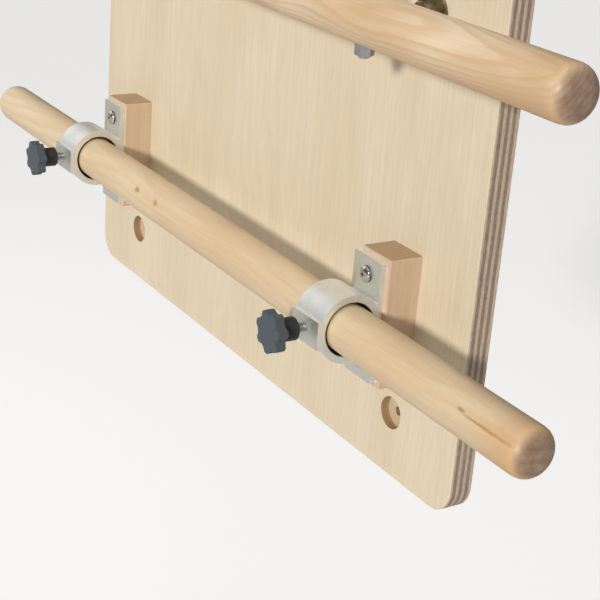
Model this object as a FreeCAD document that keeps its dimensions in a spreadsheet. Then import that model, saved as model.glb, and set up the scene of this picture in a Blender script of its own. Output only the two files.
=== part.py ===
import FreeCAD, Part
import Sketcher
import math
import os
import re

# A wall-mounted roller board: a plywood board that carries a braked wooden roller in two
# aluminium ring brackets, and above it a fixed wooden hand bar on two eye bolts.
# Millimetres. X runs along the roller, +Y points into the wall, +Z is up.
# The origin is the middle of the four wall bolts, on the back face of the board.

SIZES = {
    # plywood board and the holes for the four wall bolts
    "board_width": 656.0,
    "board_height": 530.0,
    "board_thickness": 21.0,
    "board_corner_radius": 25.0,
    "board_edge_ease": 1.0,
    "wall_bolt_spacing_wide": 480.0,
    "wall_bolt_spacing_tall": 420.0,
    "wall_bolt_hole_radius": 4.0,
    "wall_bolt_counterbore_radius": 14.0,
    "wall_bolt_counterbore_depth": 8.0,
    # beech blocks that stand the brackets off the board
    "mount_spacing": 480.0,
    "block_width": 40.0,
    "block_height": 110.0,
    "block_depth": 30.0,
    "block_edge_ease": 1.5,
    "block_screw_spacing": 44.0,
    "block_screw_radius": 2.5,
    "block_screw_head_radius": 4.8,
    "block_screw_bite": 20.0,
    # wooden roller and hand bar
    "bar_radius": 20.0,
    "bar_length": 940.0,
    "bar_end_round": 12.0,
    "roller_height": -120.0,
    "roller_offset": 13.0,
    "hand_bar_height": 120.0,
    "hand_bar_offset": 4.0,
    # aluminium ring brackets
    "bore_clearance": 2.3,
    "ring_wall": 6.2,
    "ring_relief": 0.5,
    "bracket_width": 38.0,
    "bracket_right_offset": -4.0,
    "flange_height": 103.0,
    "flange_thickness": 5.0,
    "flange_corner_radius": 2.0,
    "ring_fillet": 1.2,
    "ring_chamfer": 0.8,
    "boss_height": 23.0,
    "boss_drop": 1.5,
    "boss_reach": 1.5,
    "bracket_screw_spacing": 73.0,
    "bracket_screw_radius": 3.0,
    "bracket_screw_head_radius": 7.0,
    "bracket_screw_head_height": 4.2,
    "bracket_screw_dome_share": 0.8,
    "bracket_screw_bite": 24.0,
    "recess_width": 1.6,
    "recess_reach": 3.4,
    "recess_depth": 2.4,
    # clamp screws: star knob, threaded stud and the soft pad that brakes the roller
    "stud_radius": 4.0,
    "stud_in_knob": 13.0,
    "pad_radius": 3.6,
    "pad_thickness": 4.0,
    "pad_clearance": 0.6,
    "spigot_radius": 1.5,
    "spigot_length": 2.0,
    "knob_stand_off": 9.5,
    "knob_hub_radius": 9.5,
    "knob_hub_length": 15.0,
    "knob_head_radius": 17.5,
    "knob_head_thickness": 9.0,
    "knob_lobes": 7,
    "knob_scallop_radius": 6.0,
    "knob_scallop_depth": 3.2,
    "knob_edge_round": 1.5,
    # eye bolts that hold the hand bar, with a nut and washer on each side of the board
    "eye_shank_radius": 6.0,
    "eye_radius": 13.0,
    "eye_thickness": 14.0,
    "eye_neck_share": 0.6,
    "eye_nut_radius": 10.97,
    "eye_nut_height": 10.0,
    "eye_thin_nut_height": 6.0,
    "eye_washer_radius": 18.5,
    "eye_washer_thickness": 3.0,
    "eye_back_washer_radius": 15.0,
    "eye_back_washer_thickness": 2.0,
    "eye_back_recess_margin": 1.0,
    "eye_back_recess_depth": 10.0,
    "eye_shank_inset": 1.0,
    # vertical bolts that pin the hand bar to the eyes
    "pin_bolt_radius": 4.0,
    "pin_nut_radius": 7.5,
    "pin_nut_height": 8.0,
    "pin_head_height": 5.3,
    "pin_washer_radius": 8.2,
    "pin_washer_thickness": 1.8,
    "pin_seat_margin": 0.8,
    "pin_seat_depth": 2.4,
    "pin_end_length": 2.0,
    # shared by the nuts and bolt heads, as a share of the radius over the corners
    "hexagon_chamfer_share": 0.09,
    # clearances, and how far a cutting shape runs past the face that it cuts
    "fit": 0.05,
    "slot_clearance": 0.4,
    "overcut": 1.0,
}

# Lengths that several pieces share, as formulas of the sizes above.
BORE_RADIUS = "(bar_radius + bore_clearance)"
RING_RADIUS = f"({BORE_RADIUS} + ring_wall)"
FLANGE_BACK = f"({RING_RADIUS} + ring_relief)"
FLANGE_FRONT = f"({FLANGE_BACK} - flange_thickness)"
BAR_FRONT_GAP = f"(block_depth + {FLANGE_BACK})"
BAR_BEHIND = f"(board_thickness + {BAR_FRONT_GAP})"
BOSS_FACE = f"({RING_RADIUS} + boss_reach)"
PAD_FACE = "(bar_radius + pad_clearance)"
PAD_BACK = f"({PAD_FACE} + pad_thickness)"
HUB_END = f"({BOSS_FACE} + knob_stand_off)"
HEAD_BACK = f"({HUB_END} + knob_hub_length)"
STUD_END = f"({HUB_END} + stud_in_knob)"
SCREW_HOLE_RADIUS = "(bracket_screw_radius + fit)"
EYE_SHANK_END = f"({BAR_BEHIND} - eye_shank_inset)"
SEAT_HEIGHT = "(bar_radius - pin_seat_depth)"
PIN_HEAD_BASE = f"({SEAT_HEIGHT} + pin_washer_thickness)"
PIN_NUT_END = f"({PIN_HEAD_BASE} + pin_nut_height)"

SIDES = {"left": -1, "right": 1}

doc = FreeCAD.newDocument("RollerBoard")
sheet = doc.addObject("Spreadsheet::Sheet", "Sizes")
for row, (alias, number) in enumerate(SIZES.items(), start=1):
    sheet.set(f"A{row}", alias)
    sheet.set(f"B{row}", str(number))
    sheet.setAlias(f"B{row}", alias)
doc.recompute()

pieces = []


def formula(text):
    """Point every size named in a formula at its cell in the sheet."""
    return re.sub(r"[a-z_]+", lambda name: "Sizes." + name[0] if name[0] in SIZES else name[0], text)


def bind(thing, prop, text):
    """Bind one property of an object to a formula of the sizes."""
    thing.setExpression(prop, formula(text))


def place(thing, x="0", y="0", z="0"):
    """Bind where an object stands."""
    for axis, text in (("x", x), ("y", y), ("z", z)):
        bind(thing, f"Placement.Base.{axis}", text)


def keep(thing, node, x="0", y="0", z="0"):
    """Name a finished sub-part, stand it in the assembly and list it for export."""
    thing.Label = node
    place(thing, x, y, z)
    pieces.append(thing)


def side_x(side, extra="0"):
    """Where a mount stands along the roller."""
    return f"{SIDES[side]} * mount_spacing / 2 + {extra}"


def bracket_x(side):
    """The right-hand bracket is screwed on a little towards the middle of its block."""
    return side_x(side, "bracket_right_offset" if side == "right" else "0")


# ---------------------------------------------------------------- sketches and features


def new_body(several=False):
    """A body; several allows separate solids, for a set of like fasteners."""
    body = doc.addObject("PartDesign::Body", "Body")
    body.AllowCompound = several
    return body


def datum(body, role):
    """One of a body's own origin planes or axes."""
    return next(item for item in body.Origin.OriginFeatures if item.Role == role)


def new_sketch(body, plane, offset="0"):
    """A sketch on an origin plane, moved along the plane's normal."""
    sketch = body.newObject("Sketcher::SketchObject", "Sketch")
    sketch.AttachmentSupport = [(datum(body, plane), "")]
    sketch.MapMode = "FlatFace"
    bind(sketch, "AttachmentOffset.Base.z", offset)
    return sketch


def dimension(sketch, constraint, text):
    """Add a constraint whose value is a formula."""
    index = sketch.addConstraint(constraint)
    bind(sketch, f"Constraints[{index}]", text)


def fix_point(sketch, edge, point, x, y):
    """Hold one point of the sketch at a distance from its origin."""
    dimension(sketch, Sketcher.Constraint("DistanceX", -1, 1, edge, point, 1.0), x)
    dimension(sketch, Sketcher.Constraint("DistanceY", -1, 1, edge, point, 1.0), y)


def circle(sketch, radius, x="0", y="0"):
    """A circle with a radius and a centre."""
    edge = sketch.addGeometry(Part.Circle(FreeCAD.Vector(), FreeCAD.Vector(0, 0, 1), 1.0))
    dimension(sketch, Sketcher.Constraint("Radius", edge, 1.0), radius)
    fix_point(sketch, edge, 3, x, y)


def polygon(sketch, corners):
    """A closed outline of straight lines through the corners, in order."""
    count = len(corners)
    start = sketch.GeometryCount

    def rough(index):
        turn = 2 * math.pi * index / count
        return FreeCAD.Vector(math.cos(turn), math.sin(turn), 0)

    for index in range(count):
        sketch.addGeometry(Part.LineSegment(rough(index), rough(index + 1)))
    for index in range(count):
        following = start + (index + 1) % count
        sketch.addConstraint(Sketcher.Constraint("Coincident", start + index, 2, following, 1))
    for index, (x, y) in enumerate(corners):
        fix_point(sketch, start + index, 1, x, y)


def rectangle(sketch, low_x, high_x, low_y, high_y):
    """An upright rectangle between four lengths."""
    polygon(sketch, [(low_x, low_y), (high_x, low_y), (high_x, high_y), (low_x, high_y)])


def extrude(body, kind, sketch, length, middle=False, reverse=False):
    """A pad or a pocket, whose change of volume is checked."""
    before = body.Tip.Shape.Volume if body.Tip else 0.0
    feature = body.newObject(f"PartDesign::{kind}", kind)
    feature.Profile = sketch
    bind(feature, "Length", length)
    feature.Midplane = middle
    feature.Reversed = reverse
    doc.recompute()
    change = feature.Shape.Volume - before
    if (change > 0) != (kind == "Pad") or abs(change) < 1e-3:
        raise ValueError(f"{kind} on {sketch.Name} changes the volume by {change:.3f}")
    return feature


def dress(body, kind, size, wanted):
    """Fillet or chamfer the edges of the last feature that pass a test."""
    base = body.Tip
    names = [f"Edge{index}" for index, edge in enumerate(base.Shape.Edges, start=1) if wanted(edge)]
    feature = body.newObject(f"PartDesign::{kind}", kind)
    feature.Base = (base, names)
    bind(feature, "Radius" if kind == "Fillet" else "Size", size)
    doc.recompute()
    return feature


def near(value, target):
    """True where two lengths agree."""
    return abs(value - target) < 1e-3


def edge_along(edge, axis):
    """True for a straight edge along one axis."""
    if edge.Curve.TypeId != "Part::GeomLine":
        return False
    return near(abs(getattr(edge.Curve.Direction, axis)), 1.0)


def lies_at(edge, axis, place_on_axis):
    """True for an edge that lies in a plane across one axis."""
    box = edge.BoundBox
    low = getattr(box, axis.upper() + "Min")
    high = getattr(box, axis.upper() + "Max")
    return near(low, place_on_axis) and near(high, place_on_axis)


def is_circle(edge, radius):
    """True for a round edge of one radius."""
    return edge.Curve.TypeId == "Part::GeomCircle" and near(edge.Curve.Radius, radius)


# ---------------------------------------------------------------- Part primitives


AXIS_TURNS = {
    "Z": FreeCAD.Rotation(),
    "Y": FreeCAD.Rotation(FreeCAD.Vector(1, 0, 0), -90),
}


def cylinder(radius, length, axis="Z", x="0", y="0", z="0"):
    """A cylinder that runs from a point towards +Z or +Y."""
    solid = doc.addObject("Part::Cylinder", "Cylinder")
    solid.Placement.Rotation = AXIS_TURNS[axis]
    bind(solid, "Radius", radius)
    bind(solid, "Height", length)
    place(solid, x, y, z)
    return solid


def fuse(*solids):
    """Several primitives as one."""
    joined = doc.addObject("Part::MultiFuse", "Fuse")
    joined.Shapes = list(solids)
    joined.Refine = True
    return joined


def cut(base, tool):
    """One primitive less another."""
    result = doc.addObject("Part::Cut", "Cut")
    result.Base = base
    result.Tool = tool
    return result


def hexagon(corner_radius, length, axis="Z", x="0", y="0", z="0"):
    """A hexagon prism whose corners are chamfered at both ends, as on a nut."""
    prism = doc.addObject("Part::Prism", "Prism")
    prism.Polygon = 6
    prism.Placement.Rotation = AXIS_TURNS[axis]
    bind(prism, "Circumradius", corner_radius)
    bind(prism, "Height", length)
    place(prism, x, y, z)
    blank = cylinder(corner_radius, length, axis, x, y, z)
    doc.recompute()
    chamfer = doc.addObject("Part::Chamfer", "Chamfer")
    chamfer.Base = blank
    radius = blank.Radius.Value
    size = radius * SIZES["hexagon_chamfer_share"]
    rims = [index for index, edge in enumerate(blank.Shape.Edges, start=1) if is_circle(edge, radius)]
    chamfer.Edges = [(index, size, size) for index in rims]
    solid = doc.addObject("Part::Common", "Hexagon")
    solid.Base = prism
    solid.Tool = chamfer
    return solid


# ---------------------------------------------------------------- the board and its blocks


def make_board():
    """Plywood board with counterbored wall bolt holes and clearance for its fasteners."""
    body = new_body()
    outline = new_sketch(body, "XZ_Plane")
    rectangle(outline, "-board_width / 2", "board_width / 2", "-board_height / 2", "board_height / 2")
    extrude(body, "Pad", outline, "board_thickness")
    dress(body, "Fillet", "board_corner_radius", lambda edge: edge_along(edge, "y"))
    front = -SIZES["board_thickness"]
    dress(body, "Fillet", "board_edge_ease", lambda edge: lies_at(edge, "y", 0) or lies_at(edge, "y", front))

    bolts = new_sketch(body, "XZ_Plane", "board_thickness")
    counterbores = new_sketch(body, "XZ_Plane", "board_thickness")
    for across in (-1, 1):
        for up in (-1, 1):
            spot = (f"{across} * wall_bolt_spacing_wide / 2", f"{up} * wall_bolt_spacing_tall / 2")
            circle(bolts, "wall_bolt_hole_radius", *spot)
            circle(counterbores, "wall_bolt_counterbore_radius", *spot)
    extrude(body, "Pocket", bolts, "board_thickness")
    extrude(body, "Pocket", counterbores, "wall_bolt_counterbore_depth")

    shanks = new_sketch(body, "XZ_Plane", "board_thickness")
    recesses = new_sketch(body, "XZ_Plane")
    screws = new_sketch(body, "XZ_Plane", "board_thickness")
    for side in SIDES:
        x = side_x(side)
        circle(shanks, "eye_shank_radius + fit", x, "hand_bar_height")
        circle(recesses, "eye_back_washer_radius + eye_back_recess_margin", x, "hand_bar_height")
        for up in (-1, 1):
            circle(screws, "block_screw_radius + fit", x, f"roller_height + {up} * block_screw_spacing / 2")
    extrude(body, "Pocket", shanks, "board_thickness")
    extrude(body, "Pocket", recesses, "eye_back_recess_depth", reverse=True)
    extrude(body, "Pocket", screws, "board_thickness")
    screw_hole = SIZES["block_screw_radius"] + SIZES["fit"]
    dress(body, "Chamfer", "block_screw_head_radius - block_screw_radius",
          lambda edge: is_circle(edge, screw_hole) and lies_at(edge, "y", 0))
    keep(body, "board")


def make_block(side):
    """Beech block, screwed to the board from behind, with pilot holes at front and back."""
    body = new_body()
    outline = new_sketch(body, "XZ_Plane")
    rectangle(outline, "-block_width / 2", "block_width / 2", "-block_height / 2", "block_height / 2")
    extrude(body, "Pad", outline, "block_depth")
    dress(body, "Fillet", "block_edge_ease", lambda edge: not lies_at(edge, "y", 0))
    front = new_sketch(body, "XZ_Plane", "block_depth")
    back = new_sketch(body, "XZ_Plane")
    shift = "bracket_right_offset" if side == "right" else "0"
    for up in (-1, 1):
        circle(front, SCREW_HOLE_RADIUS, shift, f"{up} * bracket_screw_spacing / 2")
        circle(back, "block_screw_radius + fit", "0", f"{up} * block_screw_spacing / 2")
    extrude(body, "Pocket", front, "bracket_screw_bite + overcut")
    extrude(body, "Pocket", back, "block_screw_bite + overcut", reverse=True)
    keep(body, f"block_{side}", side_x(side), "-board_thickness", "roller_height")


def make_block_screws(side):
    """Two countersunk wood screws, heads flush with the back of the board."""
    body = new_body(several=True)
    heads = new_sketch(body, "XZ_Plane")
    for up in (-1, 1):
        circle(heads, "block_screw_radius", "0", f"{up} * block_screw_spacing / 2")
    extrude(body, "Pad", heads, "board_thickness + block_screw_bite")
    cones = new_sketch(body, "XZ_Plane")
    for up in (-1, 1):
        circle(cones, "block_screw_head_radius - 2 * fit", "0", f"{up} * block_screw_spacing / 2")
    flare = extrude(body, "Pad", cones, "block_screw_head_radius - block_screw_radius - 2 * fit")
    flare.TaperAngle = -45
    doc.recompute()
    keep(body, f"block_screws_{side}", side_x(side), "0", "roller_height")


# ---------------------------------------------------------------- ring brackets


def make_bracket(side):
    """Cast bracket: a ring on a screwed flange, with a flat boss for the clamp screw."""
    body = new_body()
    ring = new_sketch(body, "YZ_Plane")
    circle(ring, RING_RADIUS)
    extrude(body, "Pad", ring, "bracket_width", middle=True)
    boss = new_sketch(body, "YZ_Plane")
    rectangle(boss, "-" + BOSS_FACE, "-bar_radius / 2",
              "-boss_height / 2 - boss_drop", "boss_height / 2 - boss_drop")
    extrude(body, "Pad", boss, "bracket_width", middle=True)
    flange = new_sketch(body, "YZ_Plane")
    rectangle(flange, FLANGE_FRONT, FLANGE_BACK, "-flange_height / 2", "flange_height / 2")
    extrude(body, "Pad", flange, "bracket_width", middle=True)
    gap = min(line.StartPoint.x for line in flange.Geometry)
    tall = SIZES["flange_height"] / 2
    dress(body, "Fillet", "ring_fillet",
          lambda edge: edge_along(edge, "x") and lies_at(edge, "y", gap)
          and not near(abs(edge.BoundBox.ZMin), tall))
    dress(body, "Fillet", "flange_corner_radius",
          lambda edge: edge_along(edge, "y") and near(abs(edge.BoundBox.ZMin), tall))

    bore = new_sketch(body, "YZ_Plane")
    circle(bore, BORE_RADIUS)
    extrude(body, "Pocket", bore, "bracket_width + 2 * overcut", middle=True)
    bore_radius = bore.Geometry[0].Radius
    dress(body, "Chamfer", "ring_chamfer", lambda edge: is_circle(edge, bore_radius))
    stud = new_sketch(body, "XZ_Plane", BOSS_FACE)
    circle(stud, "stud_radius + fit")
    extrude(body, "Pocket", stud, BOSS_FACE)
    screws = new_sketch(body, "XZ_Plane", "-" + FLANGE_FRONT)
    for up in (-1, 1):
        circle(screws, SCREW_HOLE_RADIUS, "0", f"{up} * bracket_screw_spacing / 2")
    extrude(body, "Pocket", screws, "flange_thickness + overcut")
    keep(body, f"bracket_{side}", bracket_x(side), "-" + BAR_BEHIND, "roller_height")


def make_bracket_screws(side):
    """Two pan-head screws with a cross recess, through the flange into the block."""
    body = new_body(several=True)
    spots = [f"{up} * bracket_screw_spacing / 2" for up in (-1, 1)]
    heads = new_sketch(body, "XZ_Plane")
    for spot in spots:
        circle(heads, "bracket_screw_head_radius", "0", spot)
    extrude(body, "Pad", heads, "bracket_screw_head_height")
    rim = SIZES["bracket_screw_head_radius"]
    top = -SIZES["bracket_screw_head_height"]
    dress(body, "Fillet", "bracket_screw_head_height * bracket_screw_dome_share",
          lambda edge: is_circle(edge, rim) and lies_at(edge, "y", top))
    for wide, tall in (("recess_width", "recess_reach * 2"), ("recess_reach * 2", "recess_width")):
        slot = new_sketch(body, "XZ_Plane", "bracket_screw_head_height")
        for spot in spots:
            rectangle(slot, f"-{wide} / 2", f"{wide} / 2", f"{spot} - {tall} / 2", f"{spot} + {tall} / 2")
        extrude(body, "Pocket", slot, "recess_depth")
    shanks = new_sketch(body, "XZ_Plane")
    for spot in spots:
        circle(shanks, "bracket_screw_radius", "0", spot)
    extrude(body, "Pad", shanks, "flange_thickness + bracket_screw_bite", reverse=True)
    keep(body, f"bracket_screws_{side}", bracket_x(side),
         "-(board_thickness + block_depth + flange_thickness)", "roller_height")


# ---------------------------------------------------------------- roller and hand bar


def round_bar():
    """A turned wooden bar with rounded ends, along X."""
    body = new_body()
    section = new_sketch(body, "YZ_Plane")
    circle(section, "bar_radius")
    extrude(body, "Pad", section, "bar_length", middle=True)
    radius = SIZES["bar_radius"]
    dress(body, "Fillet", "bar_end_round", lambda edge: is_circle(edge, radius))
    return body


def make_roller():
    """The roller turns in both rings."""
    keep(round_bar(), "roller", "roller_offset", "-" + BAR_BEHIND, "roller_height")


def make_hand_bar():
    """The hand bar has a mortise for each eye and a seated hole for each vertical bolt."""
    body = round_bar()
    eyes = new_sketch(body, "XY_Plane")
    throats = new_sketch(body, "XY_Plane")
    holes = new_sketch(body, "XY_Plane")
    seats = [new_sketch(body, "XY_Plane", sign + SEAT_HEIGHT) for sign in ("", "-")]
    for side in SIDES:
        x = side_x(side, "(-hand_bar_offset)")
        half = "(eye_radius + slot_clearance)"
        circle(eyes, half, x)
        rectangle(throats, f"{x} - {half}", f"{x} + {half}", "0", "bar_radius + overcut")
        circle(holes, "pin_bolt_radius + fit", x)
        for seat in seats:
            circle(seat, "pin_washer_radius + pin_seat_margin", x)
    for sketch in (eyes, throats):
        extrude(body, "Pocket", sketch, "eye_thickness + slot_clearance", middle=True)
    extrude(body, "Pocket", holes, "2 * (bar_radius + overcut)", middle=True)
    extrude(body, "Pocket", seats[0], "pin_seat_depth + overcut", reverse=True)
    extrude(body, "Pocket", seats[1], "pin_seat_depth + overcut")
    keep(body, "hand_bar", "hand_bar_offset", "-" + BAR_BEHIND, "hand_bar_height")


# ---------------------------------------------------------------- clamp screws


def keep_at_clamp(solid, node, side):
    """Clamp pieces are drawn about the roller's axis, in the middle of the bracket."""
    keep(solid, node, bracket_x(side), "-" + BAR_BEHIND, "roller_height")


def make_brake_pad(side):
    """Soft pad that swivels on the stud's tip and presses on the roller."""
    pad = cylinder("pad_radius", "pad_thickness", "Y", y="-" + PAD_BACK)
    socket = cylinder("spigot_radius + fit", "spigot_length + 2 * fit", "Y", y="-" + PAD_BACK)
    keep_at_clamp(cut(pad, socket), f"brake_pad_{side}", side)


def make_clamp_stud(side):
    """Threaded stud: a plain cylinder to the thread's outside, with a spigot for the pad."""
    thread = cylinder("stud_radius", f"{STUD_END} - {PAD_BACK} - fit", "Y", y="-" + STUD_END)
    spigot = cylinder("spigot_radius", "spigot_length + fit * 2", "Y", y=f"-({PAD_BACK} + 2 * fit)")
    keep_at_clamp(fuse(thread, spigot), f"clamp_stud_{side}", side)


def make_star_knob(side):
    """Moulded star knob with a hub, blind-bored for the stud."""
    body = new_body()
    head = new_sketch(body, "XZ_Plane", HEAD_BACK)
    circle(head, "knob_head_radius")
    extrude(body, "Pad", head, "knob_head_thickness")
    scallop = new_sketch(body, "XZ_Plane", HEAD_BACK)
    circle(scallop, "knob_scallop_radius", "knob_head_radius + knob_scallop_radius - knob_scallop_depth")
    pocket = extrude(body, "Pocket", scallop, "knob_head_thickness", reverse=True)
    pattern = body.newObject("PartDesign::PolarPattern", "Scallops")
    pattern.Originals = [pocket]
    pattern.Axis = (datum(body, "Y_Axis"), [""])
    pattern.Angle = 360
    bind(pattern, "Occurrences", "knob_lobes")
    body.Tip = pattern
    doc.recompute()
    front = pattern.Shape.BoundBox.YMin
    dress(body, "Fillet", "knob_edge_round", lambda edge: lies_at(edge, "y", front))
    hub = new_sketch(body, "XZ_Plane", HUB_END)
    circle(hub, "knob_hub_radius")
    extrude(body, "Pad", hub, "knob_hub_length")
    hole = new_sketch(body, "XZ_Plane", HUB_END)
    circle(hole, "stud_radius + fit")
    extrude(body, "Pocket", hole, "stud_in_knob + fit", reverse=True)
    keep_at_clamp(body, f"star_knob_{side}", side)


# ---------------------------------------------------------------- eye bolts and their fasteners


def keep_at_eye(solid, node, side):
    """Eye bolt pieces are drawn about the hand bar's axis, on the line of the mount."""
    keep(solid, node, side_x(side), "-" + BAR_BEHIND, "hand_bar_height")


def make_eye_bolt(side):
    """Eye bolt: a flat eye in the hand bar's mortise, and a shank through the board."""
    eye = cylinder("eye_radius", "eye_thickness", z="-eye_thickness / 2")
    neck = "eye_radius * eye_neck_share"
    shank = cylinder("eye_shank_radius", f"{EYE_SHANK_END} - {neck}", "Y", y=neck)
    hole = cylinder("pin_bolt_radius + fit", "eye_thickness + 2 * overcut",
                    z="-eye_thickness / 2 - overcut")
    keep_at_eye(cut(fuse(eye, shank), hole), f"eye_bolt_{side}", side)


def make_eye_nuts(side):
    """Hexagon nut on the front of the board and a thin one sunk in its back."""
    front = f"{BAR_FRONT_GAP} - eye_washer_thickness - eye_nut_height"
    back = f"{BAR_BEHIND} - eye_back_recess_depth + eye_back_washer_thickness"
    for node, height, y in (("front", "eye_nut_height", front), ("back", "eye_thin_nut_height", back)):
        outside = hexagon("eye_nut_radius", height, "Y", y=y)
        thread = cylinder("eye_shank_radius + fit", f"{height} + 2 * overcut", "Y", y=f"{y} - overcut")
        keep_at_eye(cut(outside, thread), f"eye_nut_{node}_{side}", side)


def make_eye_washers(side):
    """Wide washer on the front of the board and a smaller one in its back."""
    front = f"{BAR_FRONT_GAP} - eye_washer_thickness"
    back = f"{BAR_BEHIND} - eye_back_recess_depth"
    washers = (
        ("front", "eye_washer_radius", "eye_washer_thickness", front),
        ("back", "eye_back_washer_radius", "eye_back_washer_thickness", back),
    )
    for node, radius, thickness, y in washers:
        disc = cylinder(radius, thickness, "Y", y=y)
        hole = cylinder("eye_shank_radius + fit", f"{thickness} + 2 * overcut", "Y", y=f"{y} - overcut")
        keep_at_eye(cut(disc, hole), f"eye_washer_{node}_{side}", side)


def make_pin_bolt(side):
    """Vertical bolt through the hand bar and the eye, head uppermost."""
    shank = cylinder("pin_bolt_radius", f"{PIN_NUT_END} + pin_end_length + {PIN_HEAD_BASE}",
                     z=f"-({PIN_NUT_END} + pin_end_length)")
    head = hexagon("pin_nut_radius", "pin_head_height", z=PIN_HEAD_BASE)
    keep_at_eye(fuse(shank, head), f"pin_bolt_{side}", side)


def make_pin_nut(side):
    """Nut under the hand bar."""
    outside = hexagon("pin_nut_radius", "pin_nut_height", z="-" + PIN_NUT_END)
    thread = cylinder("pin_bolt_radius + fit", "pin_nut_height + 2 * overcut",
                      z=f"-{PIN_NUT_END} - overcut")
    keep_at_eye(cut(outside, thread), f"pin_nut_{side}", side)


def make_pin_washers(side):
    """Washers under the bolt's head and over its nut, in their seats."""
    body = new_body(several=True)
    for start, reverse in ((SEAT_HEIGHT, False), ("-" + SEAT_HEIGHT, True)):
        disc = new_sketch(body, "XY_Plane", start)
        circle(disc, "pin_washer_radius")
        extrude(body, "Pad", disc, "pin_washer_thickness", reverse=reverse)
    hole = new_sketch(body, "XY_Plane")
    circle(hole, "pin_bolt_radius + fit")
    extrude(body, "Pocket", hole, f"2 * ({PIN_HEAD_BASE} + overcut)", middle=True)
    keep_at_eye(body, f"pin_washers_{side}", side)


# ---------------------------------------------------------------- assembly and export


make_board()
make_roller()
make_hand_bar()
for side_name in SIDES:
    make_block(side_name)
    make_block_screws(side_name)
    make_bracket(side_name)
    make_bracket_screws(side_name)
    make_brake_pad(side_name)
    make_clamp_stud(side_name)
    make_star_knob(side_name)
    make_eye_bolt(side_name)
    make_eye_nuts(side_name)
    make_eye_washers(side_name)
    make_pin_bolt(side_name)
    make_pin_nut(side_name)
    make_pin_washers(side_name)
doc.recompute()

for item in doc.Objects:
    if {"Invalid", "Error"} & set(item.State):
        raise ValueError(f"{item.Label} did not build: {item.State}")
for piece in pieces:
    if piece.Shape.isNull() or not piece.Shape.isValid():
        raise ValueError(f"{piece.Label} has no valid shape")

os.makedirs("parts", exist_ok=True)
for piece in pieces:
    piece.Shape.exportStep(f"parts/{piece.Label}.step")
print(len(pieces), "pieces written")
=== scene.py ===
import bmesh
import bpy
import math
from mathutils import Matrix, Vector


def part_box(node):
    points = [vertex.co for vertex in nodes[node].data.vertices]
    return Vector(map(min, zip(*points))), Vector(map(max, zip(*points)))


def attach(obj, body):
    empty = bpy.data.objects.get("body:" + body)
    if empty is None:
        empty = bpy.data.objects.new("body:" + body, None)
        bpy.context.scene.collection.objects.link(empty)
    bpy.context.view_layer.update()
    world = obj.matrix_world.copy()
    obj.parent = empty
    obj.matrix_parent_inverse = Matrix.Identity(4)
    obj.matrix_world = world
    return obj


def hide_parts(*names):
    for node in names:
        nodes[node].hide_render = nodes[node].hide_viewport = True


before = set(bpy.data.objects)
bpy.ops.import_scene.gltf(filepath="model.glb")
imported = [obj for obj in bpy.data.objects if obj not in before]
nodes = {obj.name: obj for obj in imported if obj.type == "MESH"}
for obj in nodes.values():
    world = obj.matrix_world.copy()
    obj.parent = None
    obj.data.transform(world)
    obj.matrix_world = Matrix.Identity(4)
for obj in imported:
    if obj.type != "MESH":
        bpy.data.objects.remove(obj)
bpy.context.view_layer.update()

# ---------------------------------------------------------------- camera, light and floor
# The board is looked at from its right, from a little above its middle, as it hangs on a wall
# at working height, so the floor is well below it. One soft key light stands to the right
# in front of it, a wide fill panel to its left and a softbox overhead, and the pale floor
# throws light back up.

camera_data = bpy.data.cameras.new("camera")
camera_data.lens = 88.92
camera_data.sensor_width = 36.0
camera = bpy.data.objects.new("camera", camera_data)
bpy.context.scene.collection.objects.link(camera)
right = Vector((0.51731, 0.85267, 0.07307))
up = Vector((-0.35410, 0.13554, 0.92534))
toward_viewer = Vector((0.77910, -0.50456, 0.37204))
turned = Matrix((right, up, toward_viewer)).transposed().to_4x4()
camera.matrix_world = Matrix.Translation((1.1223, -0.6901, 0.3263)) @ turned
camera_data.clip_start = 0.05
camera_data.clip_end = 60
bpy.context.scene.camera = camera
bpy.context.scene.view_settings.view_transform = "Standard"


def add_light(name, kind, energy, colour):
    """A new light in the scene."""
    data = bpy.data.lights.new(name, kind)
    data.energy = energy
    data.color = colour
    lamp = bpy.data.objects.new(name, data)
    bpy.context.scene.collection.objects.link(lamp)
    lamp.rotation_mode = "QUATERNION"
    return lamp


key = add_light("key", "SUN", 2.62, (1.0, 0.985, 0.955))
key.data.angle = math.radians(7)
key.rotation_quaternion = Vector((0.66, -1.0, 0.38)).to_track_quat("Z", "Y")

fill = add_light("fill", "AREA", 13.0, (1.0, 0.975, 0.94))
fill.data.shape = "RECTANGLE"
fill.data.size = 2.6
fill.data.size_y = 2.2
fill.location = (-2.0, -0.9, 1.1)
fill.rotation_quaternion = fill.location.to_track_quat("Z", "Y")

overhead = add_light("overhead", "AREA", 7, (1.0, 0.98, 0.95))
overhead.data.size = 1.5
overhead.location = (0.5, -0.45, 2.0)


def node(tree, kind, inputs=None, **settings):
    """Add a shader node; an input is a plain value or another node's output."""
    made = tree.nodes.new(kind)
    for name, value in settings.items():
        setattr(made, name, value)
    for name, value in (inputs or {}).items():
        if isinstance(value, bpy.types.NodeSocket):
            tree.links.new(value, made.inputs[name])
        else:
            made.inputs[name].default_value = value
    return made


def math_node(tree, operation, first, second=0.0, third=0.0):
    """One arithmetic step, which gives its output."""
    step = node(tree, "ShaderNodeMath", {0: first, 1: second, 2: third}, operation=operation)
    return step.outputs[0]


def coordinate(tree, kind):
    """The X, Y and Z of one kind of texture coordinate."""
    source = node(tree, "ShaderNodeTexCoord").outputs[kind]
    return node(tree, "ShaderNodeSeparateXYZ", {0: source}).outputs


def blend_colour(tree, factor, first, second, blend_type="MIX"):
    """Two colours mixed by a factor."""
    mix = node(tree, "ShaderNodeMix", {0: factor, 6: first, 7: second},
               data_type="RGBA", blend_type=blend_type)
    return mix.outputs[2]


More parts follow.
